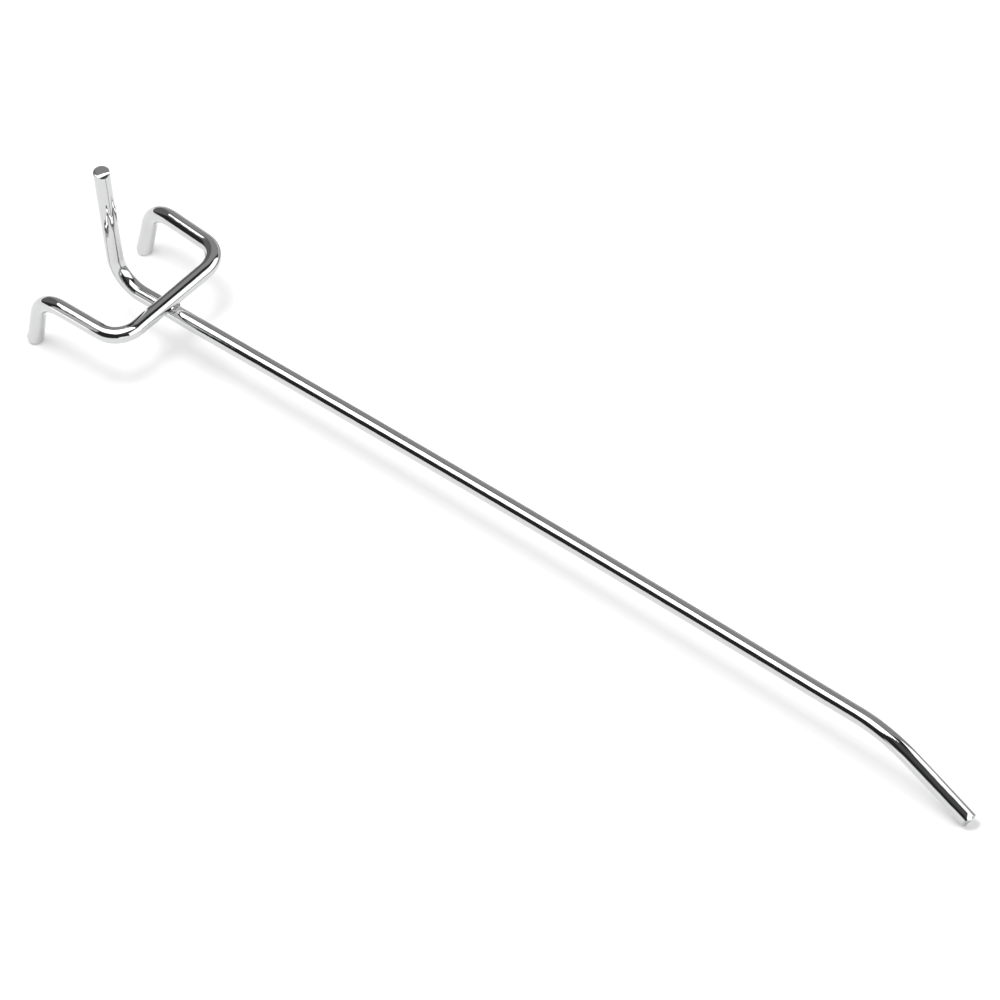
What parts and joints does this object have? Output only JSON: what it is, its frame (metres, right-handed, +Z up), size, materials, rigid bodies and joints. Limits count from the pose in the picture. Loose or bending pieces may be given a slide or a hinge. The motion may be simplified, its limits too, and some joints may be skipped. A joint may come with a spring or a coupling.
{
  "type": "pegboard hook",
  "caption": "Long welded wire hook for a perforated board: a U-shaped bracket with leaning pegs, a tail that rests on the board and a straight arm with a slanted tip.",
  "frame": {"origin": "on the table under the middle of the hook's box, halfway along its length and across it", "axes": "+Z up from the table on which the hook rests upside down on its two pegs and its tip; +X along the arm towards the tip; +Y across the two pegs. In use it is turned over about X, with the pegs pointing up behind the board."},
  "size_m": [0.2499, 0.0356, 0.0441],
  "materials": {
    "chrome_wire": "bright chrome plate on round wire",
    "weld_chrome": "chrome plate over a squeezed spot weld"
  },
  "bodies": {
    "root": {"arm_wire": "chrome_wire", "bracket_wire": "chrome_wire", "weld": "weld_chrome"}
  },
  "joints": []
}
